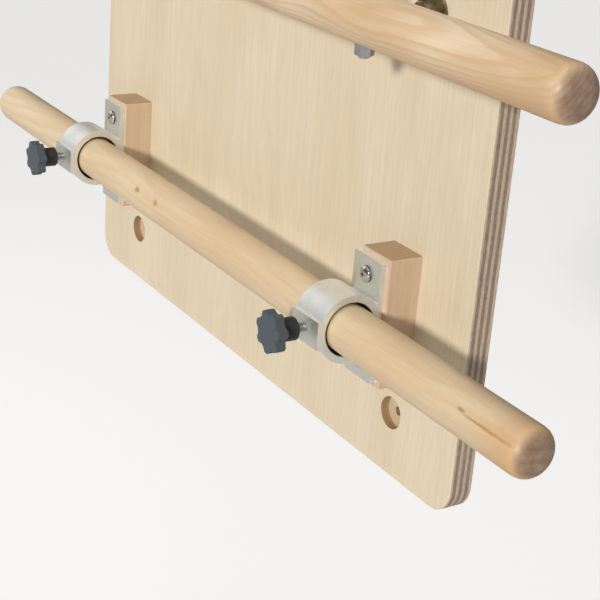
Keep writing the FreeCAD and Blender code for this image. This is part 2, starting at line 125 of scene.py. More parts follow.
def object_place(tree, rotation=(0, 0, 0), location=(0, 0, 0), scale=(1, 1, 1)):
    """Object coordinates in metres, moved, turned or stretched."""
    place = node(tree, "ShaderNodeTexCoord").outputs["Object"]
    return node(tree, "ShaderNodeMapping", {
        "Vector": place, "Rotation": rotation, "Location": location, "Scale": scale,
    }).outputs["Vector"]


def noise(tree, place, scale, detail=2.0, rough=0.5, distortion=0.0):
    """Smooth noise of so many cells per metre."""
    return node(tree, "ShaderNodeTexNoise", {
        "Vector": place, "Scale": scale, "Detail": detail, "Roughness": rough,
        "Distortion": distortion,
    }).outputs["Fac"]


def new_material(name):
    """A material with its Principled shader ready to be fed."""
    material = bpy.data.materials.new(name)
    material.use_nodes = True
    return material, material.node_tree, material.node_tree.nodes["Principled BSDF"]


def seen_glow(tree, strength):
    """A strength for what the camera sees directly, and 0 for what only lights the scene."""
    seen = node(tree, "ShaderNodeLightPath").outputs["Is Camera Ray"]
    return math_node(tree, "MULTIPLY", seen, strength)


# The room is lighter overhead than near the ground, and looks bright and even behind the board.
room_rise, room_level, room_seen = 0.28, 0.07, 0.9
world = bpy.data.worlds.new("room")
bpy.context.scene.world = world
world.use_nodes = True
tree = world.node_tree
background = tree.nodes["Background"]
background.inputs["Color"].default_value = (1.0, 0.955, 0.88, 1)
lit = math_node(tree, "MULTIPLY_ADD", coordinate(tree, "Generated")["Z"], room_rise, room_level)
tree.links.new(math_node(tree, "MAXIMUM", lit, seen_glow(tree, room_seen)),
               background.inputs["Strength"])

floor_size, floor_level, floor_seen = 60, -1.15, 0.36
bpy.ops.object.select_all(action="DESELECT")
bpy.ops.mesh.primitive_plane_add(size=floor_size, location=(0, 0, floor_level))
floor = bpy.context.active_object
floor.name = "floor"
floor_material, tree, shader = new_material("pale floor")
speckle = noise(tree, object_place(tree), 40, 4)
tree.links.new(blend_colour(tree, speckle, (0.90, 0.90, 0.90, 1), (0.93, 0.93, 0.93, 1)),
               shader.inputs["Base Color"])
shader.inputs["Roughness"].default_value = 0.9
shader.inputs["Specular IOR Level"].default_value = 0.1
shader.inputs["Emission Color"].default_value = (0.94, 0.965, 1.0, 1)
tree.links.new(seen_glow(tree, floor_seen), shader.inputs["Emission Strength"])
floor.data.materials.append(floor_material)

# ---------------------------------------------------------------- wood figure
# All the timber is pale northern hardwood: growth rings round a wandering pith, fine fibres
# and short dark pores along the grain, and slow patches of warmer and paler colour.


def between(tree, value, low, high, out_low=0.0, out_high=1.0):
    """A value from low to high spread smoothly over another range."""
    spread = node(tree, "ShaderNodeMapRange", {
        "Value": value, "From Min": low, "From Max": high, "To Min": out_low, "To Max": out_high,
    }, interpolation_type="SMOOTHSTEP")
    return spread.outputs["Result"]


def vector_math(tree, operation, first, second=(0, 0, 0)):
    """One vector step, which gives a vector, or a number where it takes a length."""
    step = node(tree, "ShaderNodeVectorMath", {0: first, 1: second}, operation=operation)
    return step.outputs["Value" if operation == "LENGTH" else "Vector"]


def scaled(tree, vector, factor):
    """A vector made longer or shorter by a factor."""
    step = node(tree, "ShaderNodeVectorMath", {0: vector, "Scale": factor}, operation="SCALE")
    return step.outputs["Vector"]


def stretched(tree, place, across, along):
    """A place scaled across and along the grain, which runs along Z."""
    return vector_math(tree, "MULTIPLY", place, (across, across, along))


def wandered(tree, place, push_place, scale, rough, reach):
    """A place pushed about by smooth noise, by up to about half a reach."""
    push = node(tree, "ShaderNodeTexNoise", {
        "Vector": push_place, "Scale": scale, "Detail": 2.0, "Roughness": rough,
    }).outputs["Color"]
    centred = vector_math(tree, "SUBTRACT", push, (0.5, 0.5, 0.5))
    return vector_math(tree, "ADD", place, scaled(tree, centred, reach))


def begin_group(name, *numbers):
    """A node group that takes a place and some numbers, and what it is given."""
    group = bpy.data.node_groups.new(name, "ShaderNodeTree")
    group.interface.new_socket(name="Place", in_out="INPUT", socket_type="NodeSocketVector")
    for number in numbers:
        group.interface.new_socket(name=number, in_out="INPUT", socket_type="NodeSocketFloat")
    return group, group.nodes.new("NodeGroupInput").outputs


def end_group(group, results):
    """Hand named values out of a node group."""
    for name in results:
        group.interface.new_socket(name=name, in_out="OUTPUT", socket_type="NodeSocketFloat")
    handed = group.nodes.new("NodeGroupOutput")
    for name, value in results.items():
        group.links.new(value, handed.inputs[name])


figure, given = begin_group("wood figure", "Ring Width", "Wander", "Fibre Scale")
place, fibre_scale = given["Place"], given["Fibre Scale"]
wandering = wandered(figure, place, stretched(figure, place, 1.0, 0.42), 7.0, 0.45, given["Wander"])
from_pith = vector_math(figure, "LENGTH", vector_math(figure, "MULTIPLY", wandering, (1, 1, 0)))
ragged = noise(figure, stretched(figure, place, 1.0, 0.06), 260, 3, 0.6)
ring_number = math_node(figure, "DIVIDE", from_pith, given["Ring Width"])
within = math_node(figure, "FRACT", math_node(figure, "MULTIPLY_ADD", ragged, 0.35, ring_number))
early = between(figure, within, 0.0, 0.82)
late = between(figure, within, 0.86, 1.0)
rings = math_node(figure, "SUBTRACT", math_node(figure, "POWER", early, 2.2), late)
fibre_place = scaled(figure, stretched(figure, place, 1.0, 0.022), fibre_scale)
fibre = noise(figure, fibre_place, 1.0, 4, 0.62)
pore_place = scaled(figure, stretched(figure, place, 3.4, 0.13), fibre_scale)
pores = between(figure, noise(figure, pore_place, 1.0, 1), 0.66, 0.76)
patches = noise(figure, stretched(figure, place, 1.0, 0.3), 19, 2, 0.5, 0.4)
height = math_node(figure, "SUBTRACT", math_node(figure, "MULTIPLY", fibre, 0.5), pores)
end_group(figure, {
    "Rings": rings, "Fibre": fibre, "Pores": pores, "Patches": patches, "Height": height,
})


def wood_figure(tree, place, ring_width, wander, fibre_scale):
    """The wood figure at a place whose Z runs along the grain."""
    return node(tree, "ShaderNodeGroup", {
        "Place": place, "Ring Width": ring_width, "Wander": wander, "Fibre Scale": fibre_scale,
    }, node_tree=figure).outputs


def tinted(tree, colour, mask, share, tint):
    """A colour taken towards a tint by a share, where a mask is 1."""
    return blend_colour(tree, math_node(tree, "MULTIPLY", mask, share), colour, tint)


def grain_colour(tree, wood, pale, warm, ring_share, patch_share, pore_colour, pore_share):
    """Pale wood shaded by its rings, patches, fibres and pores."""
    colour = tinted(tree, pale, wood["Rings"], ring_share, warm)
    patch = between(tree, wood["Patches"], 0.3, 0.7, 0.0, patch_share)
    colour = blend_colour(tree, patch, colour, warm)
    tone = between(tree, wood["Fibre"], 0.2, 0.8, 0.93, 1.05)
    grey = node(tree, "ShaderNodeCombineColor", {0: tone, 1: tone, 2: tone}).outputs[0]
    colour = blend_colour(tree, 1.0, colour, grey, "MULTIPLY")
    return tinted(tree, colour, wood["Pores"], pore_share, pore_colour)


def feel(tree, shader, height, distance, strength, roughness, rough_low, rough_high):
    """Relief from a height, and roughness that follows a mask."""
    bump = node(tree, "ShaderNodeBump", {
        "Height": height, "Distance": distance, "Strength": strength,
    })
    tree.links.new(bump.outputs["Normal"], shader.inputs["Normal"])
    tree.links.new(between(tree, roughness, 0.0, 1.0, rough_low, rough_high),
                   shader.inputs["Roughness"])


def faces_along(tree, axis):
    """How squarely a surface faces along an axis, either way, from 0 to 1."""
    return math_node(tree, "ABSOLUTE", coordinate(tree, "Normal")[axis])


def dress(material, *names):
    """Give CAD pieces a material in every one of their slots."""
    for name in names:
        for slot in nodes[name].material_slots:
            slot.material = material


# ---------------------------------------------------------------- board
# A 21 mm birch plywood board, faced on both sides with cream rotary-cut veneer whose grain
# runs up and down. Its sawn edge shows seven plies, every second one dark end grain,
# with thin glue lines, and the wall bolt holes are counterbored with a plunge cutter.

birch, tree, shader = new_material("birch plywood")
wood = wood_figure(tree, object_place(tree, location=(0.07, -0.16, 0.0)),
                   ring_width=0.0062, wander=0.075, fibre_scale=620.0)
face = grain_colour(tree, wood, pale=(0.735, 0.645, 0.490, 1), warm=(0.675, 0.560, 0.385, 1),
                    ring_share=0.26, patch_share=0.60,
                    pore_colour=(0.46, 0.33, 0.20, 1), pore_share=0.28)

board_thickness, plies, ply_waver = 0.021, 7, 0.0011
ply = board_thickness / plies
at = coordinate(tree, "Object")
depth = math_node(tree, "MULTIPLY_ADD", noise(tree, object_place(tree), 42, 3), ply_waver, at["Y"])
pair = math_node(tree, "FRACT", math_node(tree, "DIVIDE", depth, 2 * ply))
dark_ply = math_node(tree, "MULTIPLY",
                     between(tree, pair, 0.02, 0.10), between(tree, pair, 0.50, 0.42))
to_joint = math_node(tree, "PINGPONG", math_node(tree, "DIVIDE", depth, ply), 0.5)
glue = between(tree, to_joint, 0.07, 0.02)
torn = between(tree, noise(tree, object_place(tree, scale=(1.0, 1.0, 0.2)), 1300, 4, 0.7),
               0.25, 0.75)
long_grain = blend_colour(tree, torn, (0.72, 0.575, 0.44, 1), (0.46, 0.35, 0.27, 1))
end_grain = blend_colour(tree, torn, (0.42, 0.30, 0.235, 1), (0.20, 0.135, 0.105, 1))
edge = blend_colour(tree, dark_ply, long_grain, end_grain)
edge = tinted(tree, edge, glue, 0.8, (0.075, 0.05, 0.04, 1))
is_edge = between(tree, faces_along(tree, "Y"), 0.80, 0.55)

# Edges well inside the board's outline are walls of bolt holes, and faces below its surface
# are counterbore floors. Both are painted darker and browner, as painted shade in the recesses.
inner_width, inner_height, blur = 0.28, 0.25, 0.005
skin, below_skin = 0.0098, 0.0090
from_middle = math_node(tree, "ABSOLUTE",
                        math_node(tree, "ADD", at["Y"], board_thickness / 2))
counterbore_shade = math_node(tree, "MULTIPLY", between(tree, from_middle, skin, below_skin), 0.5)
from_centre = math_node(tree, "ABSOLUTE", at["X"])
in_width = between(tree, from_centre, inner_width + blur, inner_width)
from_centre = math_node(tree, "ABSOLUTE", at["Z"])
in_height = between(tree, from_centre, inner_height + blur, inner_height)
in_hole = math_node(tree, "MULTIPLY", math_node(tree, "MULTIPLY", is_edge, in_width), in_height)
# Painted shade: hole walls take this darker brown, and counterbore floors are tinted darker below.
hole_shade_colour = blend_colour(tree, torn, (0.47, 0.31, 0.17, 1), (0.34, 0.21, 0.11, 1))
hole_shade_colour = tinted(tree, hole_shade_colour, dark_ply, 0.35, (0.26, 0.16, 0.09, 1))
colour = blend_colour(tree, is_edge, face, edge)
colour = blend_colour(tree, in_hole, colour, hole_shade_colour)
is_face = math_node(tree, "SUBTRACT", 1.0, is_edge)
colour = tinted(tree, colour, counterbore_shade, is_face, (0.50, 0.36, 0.22, 1))
tree.links.new(colour, shader.inputs["Base Color"])
roughened = math_node(tree, "SUBTRACT", torn, glue)
relief = math_node(tree, "MULTIPLY_ADD", roughened, is_edge, wood["Height"])
feel(tree, shader, relief, 0.00012, 0.55, wood["Fibre"], 0.42, 0.58)
shader.inputs["Specular IOR Level"].default_value = 0.35
shader.inputs["Coat Weight"].default_value = 0.06
shader.inputs["Coat Roughness"].default_value = 0.3
dress(birch, "board")

# ---------------------------------------------------------------- blocks
# Two solid beech blocks stand the brackets off the board. They are sawn, sanded and oiled,
# pinkish, with the grain up and down, short dark ray flecks and darker end grain on top.


def both(name):
    """The left-hand and right-hand piece of a pair."""
    return [f"{name}_{side}" for side in ("left", "right")]


beech, tree, shader = new_material("beech")
wood = wood_figure(tree, object_place(tree, location=(0.012, 0.10, 0.03)),
                   ring_width=0.0042, wander=0.02, fibre_scale=850.0)
side_grain = grain_colour(tree, wood, pale=(0.640, 0.485, 0.350, 1), warm=(0.560, 0.395, 0.265, 1),
                          ring_share=0.40, patch_share=0.4,
                          pore_colour=(0.33, 0.19, 0.11, 1), pore_share=0.4)
flecks = between(tree, noise(tree, object_place(tree, scale=(1, 1, 0.24)), 900, 1), 0.64, 0.72)
side_grain = tinted(tree, side_grain, flecks, 0.3, (0.42, 0.25, 0.15, 1))
cut = between(tree, noise(tree, object_place(tree), 2400, 2, 0.6), 0.3, 0.7)
sawn = blend_colour(tree, cut, (0.53, 0.375, 0.235, 1), (0.44, 0.30, 0.185, 1))
sawn = tinted(tree, sawn, wood["Rings"], 0.35, (0.33, 0.20, 0.12, 1))
ends = between(tree, faces_along(tree, "Z"), 0.6, 0.9)
tree.links.new(blend_colour(tree, ends, side_grain, sawn), shader.inputs["Base Color"])
relief = math_node(tree, "MULTIPLY_ADD", cut, ends, wood["Height"])
feel(tree, shader, relief, 0.0001, 0.5, wood["Fibre"], 0.45, 0.6)
shader.inputs["Specular IOR Level"].default_value = 0.35
dress(beech, *both("block"))

# ---------------------------------------------------------------- roller and hand bar
# Both bars are 40 mm maple, turned on a lathe with rounded ends and sanded. The long grain
# is cream to honey with wandering rings, and the end grain drinks in more finish and is dark.
# The roller has two pin knots near its left bracket and a brown mineral streak at its right end.


def spot(tree, centre, size, ragged_by):
    """A soft-edged ellipsoid mask, 1 at its centre, with a ragged rim."""
    place = node(tree, "ShaderNodeTexCoord").outputs["Object"]
    ragged = wandered(tree, place, place, 220.0, 0.5, ragged_by)
    offset = vector_math(tree, "SUBTRACT", ragged, centre)
    far = vector_math(tree, "LENGTH", vector_math(tree, "DIVIDE", offset, size))
    return between(tree, far, 1.0, 0.35)


def turned_maple(name, pale, warm, blush_share, pith, ring_width, marks=()):
    """Turned maple; marks are dark spots as (centre, size, raggedness, colour, share)."""
    material, tree, shader = new_material(name)
    grain_place = object_place(tree, rotation=(0, math.radians(-88.6), 0), location=pith)
    wood = wood_figure(tree, grain_place, ring_width, wander=0.065, fibre_scale=700.0)
    long_grain = grain_colour(tree, wood, pale, warm, ring_share=0.42, patch_share=0.75,
                              pore_colour=(0.45, 0.29, 0.16, 1), pore_share=0.2)
    blotches = noise(tree, object_place(tree, scale=(0.3, 1, 1)), 26, 3, 0.55)
    long_grain = tinted(tree, long_grain, between(tree, blotches, 0.48, 0.72), blush_share,
                        (0.60, 0.37, 0.205, 1))
    for centre, size, ragged_by, colour, share in marks:
        long_grain = tinted(tree, long_grain, spot(tree, centre, size, ragged_by), share, colour)
    cut = between(tree, noise(tree, object_place(tree), 1900, 3, 0.6), 0.3, 0.7)
    end_grain = blend_colour(tree, cut, (0.37, 0.240, 0.155, 1), (0.230, 0.135, 0.088, 1))
    bruised = between(tree, noise(tree, object_place(tree), 120, 4, 0.6), 0.35, 0.70)
    end_grain = tinted(tree, end_grain, bruised, 0.4, (0.50, 0.39, 0.32, 1))
    end_grain = tinted(tree, end_grain, wood["Rings"], 0.4, (0.22, 0.13, 0.085, 1))
    ends = between(tree, faces_along(tree, "X"), 0.35, 0.95)
    tree.links.new(blend_colour(tree, ends, long_grain, end_grain), shader.inputs["Base Color"])
    relief = math_node(tree, "MULTIPLY_ADD", cut, ends, wood["Height"])
    feel(tree, shader, relief, 0.00008, 0.5, wood["Fibre"], 0.38, 0.54)
    shader.inputs["Specular IOR Level"].default_value = 0.42
    shader.inputs["Coat Weight"].default_value = 0.08
    shader.inputs["Coat Roughness"].default_value = 0.28
    return material


roller_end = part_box("roller")[1].x
axis_y, axis_z = -0.080, -0.120
left_knot, right_knot = (-0.0905, -0.0982, -0.1117), (-0.0513, -0.0984, -0.1121)
knot_halo = (0.0085, 0.0060, 0.0060)
knot_brown, mineral_brown = (0.36, 0.19, 0.075, 1), (0.42, 0.235, 0.09, 1)
honey, amber = (0.62, 0.42, 0.21, 1), (0.62, 0.36, 0.17, 1)
roller_marks = (
    (left_knot, knot_halo, 0.004, honey, 0.45),
    (left_knot, (0.0050, 0.0036, 0.0036), 0.005, knot_brown, 0.75),
    (right_knot, knot_halo, 0.004, honey, 0.45),
    (right_knot, (0.0045, 0.0036, 0.0038), 0.005, knot_brown, 0.65),
    ((0.4520, -0.0975, -0.1088), (0.0460, 0.0060, 0.0050), 0.003, honey, 0.55),
    ((0.4520, -0.0980, -0.1118), (0.0440, 0.0030, 0.0015), 0.0012, mineral_brown, 0.85),
    ((roller_end - 0.004, axis_y, axis_z - 0.008), (0.050, 0.045, 0.045), 0.012, amber, 0.75),
    ((0.4190, -0.0975, -0.1102), (0.0060, 0.0030, 0.0016), 0.0012, knot_brown, 0.7),
)
dress(turned_maple("roller maple", pale=(0.740, 0.612, 0.425, 1), warm=(0.640, 0.465, 0.280, 1),
                   blush_share=0.22, pith=(0.047, 0.094, 0.0), ring_width=0.0085,
                   marks=roller_marks), "roller")
dress(turned_maple("hand bar maple", pale=(0.760, 0.620, 0.440, 1), warm=(0.560, 0.340, 0.165, 1),
                   blush_share=0.6, pith=(0.021, -0.06, 0.13), ring_width=0.0034), "hand_bar")

# ---------------------------------------------------------------- brackets
# Each ring bracket is an aluminium casting, blasted satin all over, then machined on its
# flange and the flat boss that the clamp screw goes through. The bore is painted near black, as
# painted shade in the gap round the roller.

wear, given = begin_group("metal surface", "Grain Scale", "Smudge Scale")
place = given["Place"]
grain = noise(wear, scaled(wear, place, given["Grain Scale"]), 1.0, 3, 0.6)
smudges = noise(wear, scaled(wear, place, given["Smudge Scale"]), 1.0, 4, 0.6, 0.6)
scratch_place = node(wear, "ShaderNodeMapping", {
    "Vector": place, "Rotation": (0.5, 0.3, 0.9), "Scale": (90, 4200, 4200),
}).outputs["Vector"]
scratches = between(wear, noise(wear, scratch_place, 1.0, 1), 0.70, 0.76)
end_group(wear, {"Grain": grain, "Smudges": smudges, "Scratches": scratches})


def metal(name, light, dark, rough_low, rough_high, grain_scale, relief, scratch_share):
    """A bare or plated metal with fine relief, smudges and hair scratches."""
    material, tree, shader = new_material(name)
    surface = node(tree, "ShaderNodeGroup", {
        "Place": object_place(tree), "Grain Scale": grain_scale, "Smudge Scale": 70.0,
    }, node_tree=wear).outputs
    colour = blend_colour(tree, between(tree, surface["Smudges"], 0.3, 0.7), light, dark)
    scratched = math_node(tree, "MULTIPLY", surface["Scratches"], scratch_share)
    tree.links.new(blend_colour(tree, scratched, colour, light), shader.inputs["Base Color"])
    shader.inputs["Metallic"].default_value = 1.0
    height = math_node(tree, "SUBTRACT", surface["Grain"], scratched)
    smudged = math_node(tree, "MULTIPLY", surface["Smudges"], 0.5)
    mask = math_node(tree, "MULTIPLY_ADD", surface["Grain"], 0.5, smudged)
    feel(tree, shader, height, relief, 0.6, between(tree, mask, 0.3, 0.7), rough_low, rough_high)
    return material


aluminium = metal("satin aluminium", light=(0.95, 0.975, 0.985, 1), dark=(0.87, 0.895, 0.90, 1),
                  rough_low=0.44, rough_high=0.58, grain_scale=2600.0, relief=0.00004,
                  scratch_share=0.35)
tree = aluminium.node_tree
base_colour = tree.nodes["Principled BSDF"].inputs["Base Color"]
# Faces square to Y (flange and boss) take a darker, warmer tone: partly the milled finish, partly a
# painted reflection of darker, warm surroundings.
milled = noise(tree, object_place(tree, scale=(0.12, 1, 1)), 3000, 2, 0.6)
machined_and_reflection_tone = blend_colour(tree, milled, (0.93, 0.94, 0.87, 1), (0.74, 0.75, 0.69, 1))
machined = between(tree, faces_along(tree, "Y"), 0.97, 0.995)
tone = blend_colour(tree, machined, base_colour.links[0].from_socket, machined_and_reflection_tone)
# Painted shade: the inside of the bore is coloured near black.
bore_radius, bore_blur = 0.02235, 0.00045
from_axis = vector_math(tree, "LENGTH", object_place(tree, location=(0, -axis_y, -axis_z),
                                                     scale=(0, 1, 1)))
bore_shade = between(tree, from_axis, bore_radius + bore_blur, bore_radius)
tree.links.new(blend_colour(tree, bore_shade, tone, (0.10, 0.085, 0.07, 1)), base_colour)
dress(aluminium, *both("bracket"))

# ---------------------------------------------------------------- clamp studs
# An M8 zinc-plated stud is moulded into each star knob and screws through the boss of the
# ring. Its tip is turned down to a spigot, which carries the soft pad that brakes the roller.

zinc = metal("zinc plate", light=(0.62, 0.63, 0.645, 1), dark=(0.46, 0.47, 0.49, 1),
             rough_low=0.22, rough_high=0.36, grain_scale=1800.0, relief=0.00002,
             scratch_share=0.4)


def begin(name):
    """Name the primitive just added, settle its place in its mesh and open it for editing."""
    piece = bpy.context.active_object
    piece.name = piece.data.name = name
    bpy.ops.object.transform_apply(location=True, rotation=True, scale=True)
    bpy.ops.object.mode_set(mode="EDIT")
    return piece


def pick(piece, kind, wanted):
    """Select only the vertices, edges or faces that pass a test."""
    bpy.ops.mesh.select_mode(type=kind)
    bpy.ops.mesh.select_all(action="DESELECT")
    mesh = bmesh.from_edit_mesh(piece.data)
    for item in {"VERT": mesh.verts, "EDGE": mesh.edges, "FACE": mesh.faces}[kind]:
        if wanted(item):
            item.select_set(True)
    mesh.select_flush_mode()
    bmesh.update_edit_mesh(piece.data)


def threaded_rod(name, radius, pitch, low, high, x, z):
    """A rod along Y with a rolled thread, cut off square at both ends."""
    bpy.ops.object.select_all(action="DESELECT")
    tooth, crest_share = pitch * 0.6, 0.16
    bpy.ops.mesh.primitive_plane_add(size=1)
    rod = begin(name)
    bpy.ops.transform.resize(value=(tooth, pitch, 1))
    bpy.ops.transform.translate(value=(radius - tooth / 2, 0, 0))
    pick(rod, "VERT", lambda corner: corner.co.x > radius - tooth / 2)
    bpy.ops.transform.resize(value=(1, crest_share, 1), center_override=(radius, 0, 0))
    pick(rod, "FACE", lambda side: True)
    bpy.ops.mesh.delete(type="ONLY_FACE")
    pick(rod, "EDGE", lambda line: all(end.co.x < radius - tooth / 2 for end in line.verts))
    bpy.ops.mesh.delete(type="EDGE")
    bpy.ops.object.mode_set(mode="OBJECT")
    screw = rod.modifiers.new("Thread", "SCREW")
    screw.axis = "Y"
    screw.screw_offset = pitch
    screw.iterations = math.ceil((high - low) / pitch) + 3
    screw.steps = screw.render_steps = 20
    screw.use_merge_vertices = True
    screw.merge_threshold = pitch / 100
    bpy.ops.object.modifier_apply(modifier=screw.name)
    bpy.ops.object.mode_set(mode="EDIT")
    bpy.ops.mesh.select_all(action="SELECT")
    bpy.ops.mesh.remove_doubles(threshold=pitch / 100)
    bpy.ops.transform.translate(value=(x, low - 1.5 * pitch, z))
    for level, direction in ((low, -1), (high, 1)):
        bpy.ops.mesh.select_all(action="SELECT")
        bpy.ops.mesh.bisect(plane_co=(x, level, z), plane_no=(0, direction, 0),
                            use_fill=True, clear_outer=True)
    bpy.ops.mesh.select_all(action="SELECT")
    bpy.ops.mesh.normals_make_consistent(inside=False)
    return rod


def finish_piece(piece, material, slot, body, *replaced, smooth=35):
    """Close the edit, shade the piece, give it its finish and hang it on its body."""
    if bpy.context.object.mode == "EDIT":
        bpy.ops.object.mode_set(mode="OBJECT")
    bpy.ops.object.select_all(action="DESELECT")
    piece.select_set(True)
    bpy.context.view_layer.objects.active = piece
    bpy.ops.object.shade_smooth_by_angle(angle=math.radians(smooth))
    level = piece.modifiers.new("Level", "WEIGHTED_NORMAL")
    level.keep_sharp = True
    bpy.ops.object.modifier_apply(modifier=level.name)
    piece.data.materials.clear()
    piece.data.materials.append(material)
    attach(piece, body)
    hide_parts(*replaced)


def middle(name):
    """The middle of a CAD piece's box."""
    low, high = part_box(name)
    return (low + high) / 2


def copy_to_right(piece, name, material, slot, body, replaced, smooth=35):
    """Copy a left-hand piece with its own mesh to where its right-hand twin stands."""
    bpy.ops.object.select_all(action="DESELECT")
    twin = piece.copy()
    twin.data = piece.data.copy()
    twin.name = twin.data.name = name
    for key in list(twin.keys()):
        del twin[key]
    twin.parent = None
    bpy.context.scene.collection.objects.link(twin)
    across = middle(replaced) - middle(replaced.replace("right", "left"))
    twin.matrix_world = Matrix.Translation(across)
    twin.select_set(True)
    bpy.context.view_layer.objects.active = twin
    bpy.ops.object.transform_apply(location=True, rotation=True, scale=True)
    finish_piece(twin, material, slot, body, replaced, smooth=smooth)


low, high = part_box("clamp_stud_left")
centre = middle("clamp_stud_left")
hair = 1e-5
stud_radius, stud_pitch = 0.004, 0.00125
spigot, shoulder_width, taper, spigot_share = 0.0021, 0.0009, 0.0003, 0.62
stud = threaded_rod("stud_left", stud_radius, stud_pitch, low.y, high.y - spigot,
                    centre.x, centre.z)
pick(stud, "FACE", lambda side: side.normal.y > 0.9
     and side.calc_center_median().y > high.y - spigot - hair)
bpy.ops.mesh.inset(thickness=shoulder_width)
bpy.ops.mesh.extrude_region_move(TRANSFORM_OT_translate={"value": (0, taper, 0)})
bpy.ops.transform.resize(value=(spigot_share, 1, spigot_share),
                         center_override=(centre.x, high.y, centre.z))
bpy.ops.mesh.extrude_region_move(TRANSFORM_OT_translate={"value": (0, spigot - taper, 0)})
finish_piece(stud, zinc, "zinc_steel", "clamp_left", "clamp_stud_left")
copy_to_right(stud, "stud_right", zinc, "zinc_steel", "clamp_right", "clamp_stud_right")

# ---------------------------------------------------------------- star knobs
# Seven-lobed star knobs moulded in slate-grey nylon with a fine spark-eroded texture, each
# with a flat face, a straight hub painted near black as shade under the head, and every edge
# rounded.

slate, tree, shader = new_material("slate-grey nylon")
grit = noise(tree, object_place(tree), 4200, 2, 0.6)
cloud = noise(tree, object_place(tree), 90, 3)
slate_tone = blend_colour(tree, cloud, (0.062, 0.080, 0.097, 1), (0.086, 0.108, 0.126, 1))
low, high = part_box("star_knob_left")
# Painted shade: the hub behind the head is coloured near black, as if shaded by the head's
# overhang.
hub_start, hub_blur = low.y + 0.0092, 0.0004
hub_shade = between(tree, coordinate(tree, "Object")["Y"], hub_start, hub_start + hub_blur)
tree.links.new(tinted(tree, slate_tone, hub_shade, 0.8, (0.010, 0.011, 0.012, 1)),
               shader.inputs["Base Color"])
feel(tree, shader, grit, 0.00004, 0.5, cloud, 0.46, 0.58)
shader.inputs["Specular IOR Level"].default_value = 0.35

centre = middle("star_knob_left")
knob_radius, head_depth, lobes, around = 0.0175, 0.009, 7, 16
scallop_radius, scallop_depth, lobe_round, rim_round = 0.006, 0.0032, 0.0008, 0.0006
hub_radius, hub_overlap, hub_round = 0.0095, 0.002, 0.0008
socket_width, socket_depth = 0.0044, 0.003
bpy.ops.object.select_all(action="DESELECT")
bpy.ops.mesh.primitive_cylinder_add(vertices=lobes * around, radius=knob_radius, depth=head_depth,
                                    location=(centre.x, low.y + head_depth / 2, centre.z),
                                    rotation=(math.radians(90), 0, 0))
knob = begin("knob_left")


def step_round(corner):
    """How many corners a corner stands from the bottom of its scallop."""
    turn = math.atan2(corner.co.x - centre.x, corner.co.z - centre.z) / math.tau * lobes * around
    place_in_lobe = round(turn) % around
    return min(place_in_lobe, around - place_in_lobe)


for step in range(around // 2):
    sideways = knob_radius * math.sin(math.tau / (lobes * around) * step)
    if sideways >= scallop_radius:
        break
    depth = scallop_depth - scallop_radius + math.sqrt(scallop_radius ** 2 - sideways ** 2)
    if depth <= 0:
        break
    pick(knob, "VERT", lambda corner: step_round(corner) == step)
    share = 1 - depth / knob_radius
    bpy.ops.transform.resize(value=(share, 1, share), center_override=tuple(centre))
pick(knob, "EDGE", lambda line: abs((line.verts[0].co - line.verts[1].co).y) > head_depth / 2
     and line.calc_face_angle(0) > math.radians(25))
bpy.ops.mesh.bevel(offset=lobe_round, segments=3, profile=0.5, clamp_overlap=True)
pick(knob, "EDGE", lambda line: len({round(end.co.y, 6) for end in line.verts}) == 1
     and line.calc_face_angle(0) > math.radians(60))
bpy.ops.mesh.bevel(offset=rim_round, segments=3, profile=0.5, clamp_overlap=True)
bpy.ops.object.mode_set(mode="OBJECT")
hub_front = low.y + head_depth - hub_overlap
bpy.ops.mesh.primitive_cylinder_add(vertices=64, radius=hub_radius, depth=high.y - hub_front,
                                    location=(centre.x, (hub_front + high.y) / 2, centre.z),
                                    rotation=(math.radians(90), 0, 0))
hub = begin("hub")
pick(hub, "EDGE", lambda line: all(end.co.y > high.y - hair for end in line.verts))
bpy.ops.mesh.bevel(offset=hub_round, segments=3, profile=0.5)
pick(hub, "FACE", lambda side: side.normal.y > 0.99 and side.calc_area() > 1e-4)
bpy.ops.mesh.inset(thickness=socket_width)
bpy.ops.mesh.extrude_region_move(TRANSFORM_OT_translate={"value": (0, -socket_depth, 0)})
bpy.ops.object.mode_set(mode="OBJECT")


def join(pieces, name):
    """Join pieces into the first of them and name it."""
    bpy.ops.object.select_all(action="DESELECT")
    for piece in pieces:
        piece.select_set(True)
    bpy.context.view_layer.objects.active = pieces[0]
    bpy.ops.object.join()
    pieces[0].name = pieces[0].data.name = name
    return pieces[0]


join([knob, hub], "knob_left")
finish_piece(knob, slate, "grey_plastic", "clamp_left", "star_knob_left", smooth=40)
copy_to_right(knob, "knob_right", slate, "grey_plastic", "clamp_right", "star_knob_right",
              smooth=40)

# ---------------------------------------------------------------- brake pads
# A small round pad of natural nylon sits on each stud's spigot, inside the ring, and drags
# on the roller when its knob is tightened.

nylon, tree, shader = new_material("natural nylon")
cloud = noise(tree, object_place(tree), 500, 3)
tree.links.new(blend_colour(tree, cloud, (0.78, 0.75, 0.66, 1), (0.66, 0.62, 0.52, 1)),
               shader.inputs["Base Color"])
grit = noise(tree, object_place(tree), 5000, 2)
feel(tree, shader, grit, 0.00003, 0.5, cloud, 0.4, 0.55)
shader.inputs["Subsurface Weight"].default_value = 0.1
shader.inputs["Subsurface Radius"].default_value = (0.001, 0.001, 0.001)
dress(nylon, *both("brake_pad"))

# ---------------------------------------------------------------- bracket screws
# Each flange is held by two nickel-plated pan-head wood screws. The heads are domed and
# polished, with a tapered cross recess punched into them.

nickel = metal("bright nickel", light=(0.80, 0.77, 0.73, 1), dark=(0.62, 0.60, 0.57, 1),
               rough_low=0.08, rough_high=0.16, grain_scale=1500.0, relief=0.000012,
               scratch_share=0.3)
tree = nickel.node_tree
base_colour = tree.nodes["Principled BSDF"].inputs["Base Color"]
